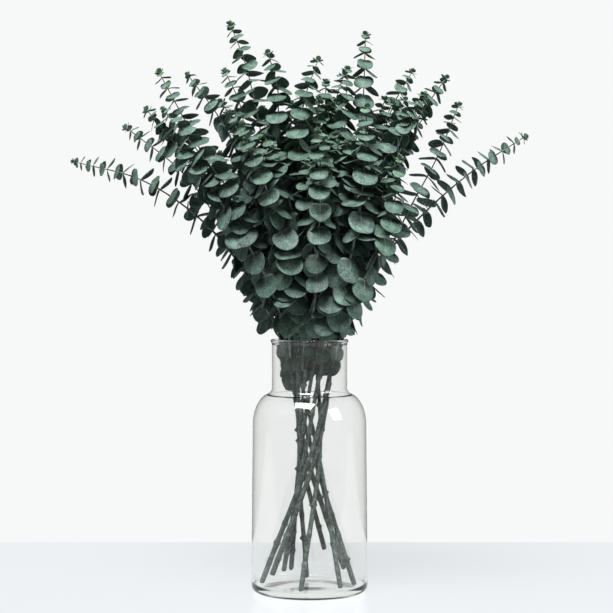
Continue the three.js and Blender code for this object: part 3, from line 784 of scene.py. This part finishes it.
TWIG_SIDES = 10
TWIG_STEPS = 6                    # between two of the frame's rings
TWIG_RADIUS = 1.4 * MM            # where a side shoot leaves its stem
SIDE_TWIG_RADIUS = 0.95 * MM
TWIG_TIP_RADIUS = 0.45 * MM
NODE_SWELLING = 0.28              # of a twig where a pair of leaves stands, over its radius
BARE_TWIG = 10 * MM               # twig with no leaves at its foot
TIP_GAP, FOOT_GAP = 5.5, 15.5     # mm between pairs of leaves
GAP_LENGTH = 100 * MM             # how far from the tip the gaps widen
YOUNG_LENGTH = 42 * MM            # how far from the tip the leaves grow larger
TIP_LEAF = 16 * MM                # added to that distance, so that the tip's own leaves aren't tiny
TIP_DROOP = 24                    # degrees that a leaf hangs below square to its twig, at the tip,
FULL_DROOP, SPARSE_DROOP = 43, 22  # and further down
DROOP_LENGTH = 80 * MM            # how far from the tip the droop reaches that
NECK_DROOP, NECK_LEAF = 66, 0.85  # leaves pushed into the neck hang more, and are smaller
FACE_OUT = 0.1                    # how far leaves turn their faces out of the bunch, in radians
TRIES = 16                        # places that a leaf tries
FREE = 2.5 * MM                   # a place where it crosses less of the others than this is taken at once
CROSSING_ALLOWED = 10 * MM        # a leaf that would cross more of them everywhere doesn't grow,
TIP_LENGTH = 40 * MM              # but nearer to the tip than this it may cross three times that
TWIG_COST = 4                     # mm of leaf that cutting a twig counts as
LOOSENESS_COST = 0.6              # mm that each further place counts as
LEAF_RADIUS = 0.54                # a leaf as a disc, over its length
OVER_RIM, OFF_GLASS = 2 * MM, 1.2 * MM  # kept between leaves and the bottle


def nearest(line, point):
    return min(line, key=lambda p: (p - point).length)


class Twig:
    """A leafy twig: its middle line, where along it pairs of leaves stand, and the leaves as they grow."""

    def __init__(self, line, leaf_length, foot_radius, seed):
        self.draw = random.Random(seed)
        self.line, self.leaf_length, self.foot_radius = line, leaf_length, foot_radius
        self.lengths = np.array(arc_lengths(line))
        self.total = self.lengths[-1]
        self.first_turn = self.draw.uniform(0, math.pi)
        self.full_droop = FULL_DROOP if leaf_length > SPARSE_LEAF else SPARSE_DROOP
        self.leaves = []
        self.pairs = []
        back = 2 * MM
        while back < self.total - BARE_TWIG:
            self.pairs.append(self.total - back)
            gap = mix(TIP_GAP, FOOT_GAP, 1 - math.exp(-back / GAP_LENGTH)) * MM
            back += gap * self.draw.uniform(0.92, 1.08)

    def at(self, length):
        """The place and direction of the twig at a length along it."""
        i = int(np.searchsorted(self.lengths, length, side="right")) - 1
        i = min(max(i, 0), len(self.line) - 2)
        a, b = self.line[i], self.line[i + 1]
        share = (length - self.lengths[i]) / (self.lengths[i + 1] - self.lengths[i])
        return a.lerp(b, share), (b - a).normalized()

    def radius(self, length):
        return mix(self.foot_radius, TWIG_TIP_RADIUS, (length / self.total) ** 0.75)

    def places(self, node, along, turn, size, droop):
        """Places for a leaf, the likeliest first, each a little looser than the last."""
        side = along.orthogonal().normalized()
        for attempt in range(TRIES):
            loose = 0.4 + 0.2 * attempt
            facing = turn + self.draw.gauss(0, 0.12) * loose
            lean = math.radians(min(84, max(-25, droop + self.draw.gauss(0, 12) * loose)))
            roll = self.draw.gauss(0, 0.18) * loose
            length = size * self.draw.uniform(0.94, 1.06) * (1 - 0.012 * attempt)
            out = Matrix.Rotation(facing, 3, along) @ side
            way = (out * math.cos(lean) - along * math.sin(lean)).normalized()
            across = along.cross(out).normalized()
            roll -= FACE_OUT * across.dot(Vector((node.x, node.y, 0)).normalized())
            across = Matrix.Rotation(roll, 3, way) @ across
            yield Place(node + out * TWIG_TIP_RADIUS, way, across, length), attempt

    def grow_pair(self, number, canopy):
        """The pair with that number from the tip. Each leaf takes the freest place that it can, if any."""
        from_tip = self.total - self.pairs[number]
        node, along = self.at(self.pairs[number])
        turn = self.first_turn + number * (math.pi / 2 + 0.05) + self.draw.uniform(-0.12, 0.12)
        size = self.leaf_length * (1 - math.exp(-(from_tip + TIP_LEAF) / YOUNG_LENGTH))
        droop = mix(TIP_DROOP, self.full_droop, smooth_step(from_tip / DROOP_LENGTH))
        if node.z < RIM_HEIGHT:
            size, droop = size * NECK_LEAF, NECK_DROOP
        grown = []
        for half in (0, math.pi):
            best, least = None, CROSSING_ALLOWED * (1 if from_tip > TIP_LENGTH else 3)
            for place, attempt in self.places(node, along, turn + half, size, droop):
                if not place.clear_of_glass():
                    continue
                cut, twigs = canopy.crossing(place)
                cost = cut + (twigs * TWIG_COST + attempt * LOOSENESS_COST) * MM
                if cost < least:
                    best, least = place, cost
                if cut + twigs * TWIG_COST * MM < FREE:
                    break
            if best:
                grown.append(best)
        for place in grown:
            canopy.add(place)
            self.leaves.append((place, from_tip))

    def side_twig(self, share, end_share, aside, seed):
        """A twig that leaves this one at a share of its length and runs up beside it, that far aside."""
        line = []
        start, end = self.total * share, self.total * end_share
        steps = max(8, round((end - start) / (8 * MM)))
        for step in range(steps + 1):
            length = mix(start, end, step / steps)
            node, along = self.at(length)
            off = aside - along * aside.dot(along)
            line.append(node + off * smooth_step((length - start) / LEAVING_LENGTH))
        return Twig(line, self.leaf_length, SIDE_TWIG_RADIUS, seed)


class Place:
    """Where a leaf stands: its foot, unit vectors along and across it, and its length."""

    def __init__(self, foot, way, across, length):
        self.foot, self.way, self.across, self.length = foot, way, across, length
        self.middle = foot + way * length / 2
        self.normal = way.cross(across)
        self.reach = length * LEAF_RADIUS

    def clear_of_glass(self):
        """Whether the leaf stays above the rim or inside the neck."""
        for k in range(8):
            turn = 2 * math.pi * k / 8
            point = self.middle + (self.way * math.cos(turn) + self.across * math.sin(turn)) * self.reach
            out = math.hypot(point.x, point.y)
            if point.z < RIM_HEIGHT + OVER_RIM and out > NECK_INSIDE - OFF_GLASS:
                return False
        return True


SIDE_TWIGS = (0.16, 0.36, 0.56)      # where side twigs leave a shoot, over its length
LEAVING_LENGTH = 70 * MM             # of the shoot, until they stand off it in full
ASIDE = (24, 34)                     # mm that they stand off it
INWARD, WIDE_INWARD = (0.7, 1.2), (-0.4, 0.7)  # share of that towards the bunch's heart
WIDE = 110 * MM                      # a shoot with its tip further to the side than this is a wide one
SIDE_TWIG_END = (0.86, 0.98)         # where they end, over the shoot's length
TALL_SHORTER = 0.08                  # less of it on a shoot that stands over the rest


def make_shoot(name, index, stem_lines):
    """The twigs of a shoot: the one that the frame has, and the smaller ones that branch from it."""
    line, leaf_length = read_shoot(name)
    stem = min(stem_lines, key=lambda l: (nearest(l, line[0]) - line[0]).length)
    heart = nearest(stem, line[0])
    carries_on = heart == stem[-1]
    root = stem[-3] if carries_on else heart - Vector((0, 0, 3 * MM))
    foot_radius = STEM_HEAD_RADIUS if carries_on else TWIG_RADIUS
    main = Twig(spline([root, *line], TWIG_STEPS), leaf_length, foot_radius, 5000 + index)
    twigs = [main]
    if leaf_length > SPARSE_LEAF:
        draw = random.Random(6000 + index)
        tip = main.line[-1]
        side = 1 if index % 2 else -1
        for number, share in enumerate(SIDE_TWIGS):
            node, along = main.at(main.total * share)
            outward = Vector((node.x, node.y, 0)).normalized()
            sideways = along.cross(outward).normalized() * side
            inward = draw.uniform(*(INWARD if abs(tip.x) < WIDE else WIDE_INWARD))
            aside = (sideways * 0.4 - outward * inward) * (draw.uniform(*ASIDE) * MM)
            end_share = draw.uniform(*SIDE_TWIG_END) - TALL_SHORTER * smooth_step((tip.z - 0.5) / 0.07)
            twigs.append(main.side_twig(share, end_share, aside, 7000 + 10 * index + number))
            side = -side
    return twigs


def finish_shoot(name, index, twigs):
    """Turns a shoot's twigs and grown leaves into its two pieces."""
    points, faces, coords = [], [], []
    for twig in twigs:
        pairs = np.array(twig.pairs)

        def radius(length, angle):
            swelling = np.exp(-((length - pairs) / (1.3 * MM)) ** 2).max()
            return twig.radius(length) * (1 + NODE_SWELLING * swelling) * (1 + 0.04 * math.cos(4 * angle))

        more, more_faces, more_coords, _ = rod_mesh(twig.line, radius, TWIG_SIDES)
        faces += [tuple(len(points) + corner for corner in face) for face in more_faces]
        points += more
        coords += more_coords
    wood = make_piece(f"{name}_twig", points, faces, [TWIG], coords=coords)
    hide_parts(name)

    maker = LeafMaker(9000 + index)
    draw = random.Random(8000 + index)
    shoot_blue = draw.uniform(0.1, 1.0)
    for twig in twigs:
        for place, from_tip in twig.leaves:
            # Leaves low down near the rim are drawn darker and less blue, and the low leaves on side twigs,
            # deep in the bunch, get painted shade.
            low = smooth_step((0.30 - place.foot.z) / 0.05)
            old = 0 if twig is twigs[0] else 0.35 * smooth_step((0.5 - place.foot.z) / 0.12)
            light = min(1.0, max(0.0, draw.uniform(0.65, 1.0) - 0.6 * low - old))
            blue = min(1.0, max(0.0, shoot_blue + draw.uniform(-0.25, 0.25) - 0.5 * low))
            young = max(0.0, 0.7 - from_tip / (60 * MM))
            maker.add(place, (light, blue, young))
        add_bud(maker, twig, draw, shoot_blue)
    blades = make_piece(f"{name}_leaves", maker.points, maker.faces, [LEAF],
                        coords=maker.coords, tints=maker.tints)
    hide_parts(name)


# The unopened pairs at a twig's tip: mm back from it, mm long, and degrees from upright.
BUD_PAIRS = ((3.4, 6.5, 60), (1.6, 5.0, 42), (0.3, 3.4, 20))


def add_bud(maker, twig, draw, blue):
    """The unopened pairs at the very tip, small, upright and yellower."""
    tip, along = twig.at(twig.total)
    side = along.orthogonal().normalized()
    start = draw.uniform(0, math.pi)
    for step, (back, size, opening) in enumerate(BUD_PAIRS):
        for half in (0, math.pi):
            out = Matrix.Rotation(start + half + step * math.pi / 2, 3, along) @ side
            lean = math.radians(opening + draw.uniform(-8, 8))
            way = (out * math.sin(lean) + along * math.cos(lean)).normalized()
            foot = tip - along * back * MM
            place = Place(foot, way, along.cross(out).normalized(), size * draw.uniform(0.9, 1.15) * MM)
            maker.add(place, (0.9, blue * 0.6, 1.0), 0.5)


def make_shoots(names, stem_lines):
    """All shoots. Their pairs of leaves grow in turn, from the tips down."""
    shoots = [make_shoot(name, i, stem_lines) for i, name in enumerate(names)]
    twigs = [twig for shoot in shoots for twig in shoot]
    canopy = Canopy(np.array([p for twig in twigs for p in twig.line[TWIG_STEPS:-1]]),
                    np.array([p for twig in twigs for p in twig.line[TWIG_STEPS + 1:]]))
    for number in range(max(len(twig.pairs) for twig in twigs)):
        for twig in twigs:
            if number < len(twig.pairs):
                twig.grow_pair(number, canopy)
    for i, (name, shoot) in enumerate(zip(names, shoots)):
        finish_shoot(name, i, shoot)


# ---- Table, room, lamps and camera ----

TABLE = (2.2, 0.334, 0.03)  # half its width, half its depth, and its thickness
UNDER_BOTTLE = 0.0002       # between the table and the bottle, so that their faces don't meet
MIDDLE = (0, 0, 0.3)        # what the lamps face


def make_table():
    """A white table top, with its back edge behind the bottle."""
    half_width, half_depth, thick = TABLE
    points = [(x * half_width, y * half_depth, z) for z in (-thick, -UNDER_BOTTLE)
              for x, y in ((-1, -1), (1, -1), (1, 1), (-1, 1))]
    faces = [(3, 2, 1, 0), (4, 5, 6, 7), (0, 1, 5, 4), (1, 2, 6, 5), (2, 3, 7, 6), (3, 0, 4, 7)]
    mesh = bpy.data.meshes.new("table")
    mesh.from_pydata(points, [], faces)
    mesh.materials.append(TABLE_TOP)
    table = bpy.data.objects.new("table", mesh)
    bpy.context.scene.collection.objects.link(table)


def make_room():
    """
    A bright white room. Matt surfaces get less light from it than the eye sees, because a real room
    isn't as bright on every side, and the outer face of the glass mirrors less of it still.
    """
    world = bpy.data.worlds.new("white_room")
    world.use_nodes = True
    tree = world.node_tree
    tree.nodes.clear()
    path = add_node(tree, "ShaderNodeLightPath").outputs
    scattered = add_node(tree, "ShaderNodeMath", [path["Diffuse Depth"], 1.0], operation="MINIMUM")
    mirrored = add_node(tree, "ShaderNodeMath", [path["Glossy Depth"], 1.0], operation="MINIMUM")
    off_skin = add_node(tree, "ShaderNodeMath", [path["Is Glossy Ray"], path["Is Transmission Ray"]],
                        operation="SUBTRACT")
    off_skin = add_node(tree, "ShaderNodeMath", [off_skin, 0.0], operation="MAXIMUM")
    strength = 0.95
    for share, loss in ((scattered, -0.8), (mirrored, -0.2), (off_skin, -0.6)):
        strength = add_node(tree, "ShaderNodeMath", [share, loss, strength], operation="MULTIPLY_ADD")
    strength = add_node(tree, "ShaderNodeMath", [strength, 0.13], operation="MAXIMUM")
    light = add_node(tree, "ShaderNodeBackground", {"Color": "#fdfefe", "Strength": strength})
    add_node(tree, "ShaderNodeOutputWorld", {"Surface": light})
    bpy.context.scene.world = world


def add_lamp(name, place, size, power):
    """A soft box of that width and height in metres and power in watts, facing the bunch."""
    data = bpy.data.lights.new(name, "AREA")
    data.shape = "RECTANGLE"
    data.size, data.size_y = size
    data.energy = power
    lamp = bpy.data.objects.new(name, data)
    lamp.location = place
    lamp.rotation_euler = (Vector(MIDDLE) - Vector(place)).to_track_quat("-Z", "Y").to_euler()
    bpy.context.scene.collection.objects.link(lamp)


def make_camera():
    """In front of the bunch and a little above its middle, looking slightly down."""
    data = bpy.data.cameras.new("camera")
    data.sensor_width = 36
    data.lens = 105.2
    camera = bpy.data.objects.new("camera", data)
    camera.location = (-0.0032, -1.9, 0.349)
    camera.rotation_euler = (math.radians(90 - 1.39), 0, 0)
    bpy.context.scene.collection.objects.link(camera)
    bpy.context.scene.camera = camera


make_camera()
make_table()
make_room()
add_lamp("soft_box_above", (-0.9, -2.7, 5.4), (3.4, 2.6), 640)
add_lamp("soft_box_right", (2.4, -1.4, 1.6), (1.2, 1.6), 40)
bpy.context.scene.view_settings.view_transform = "Standard"
make_bottle()
nodes = sorted(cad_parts)
stem_lines = [make_stem(name, i) for i, name in enumerate(n for n in nodes if n.startswith("stem"))]
make_shoots([n for n in nodes if n.startswith("shoot")], stem_lines)
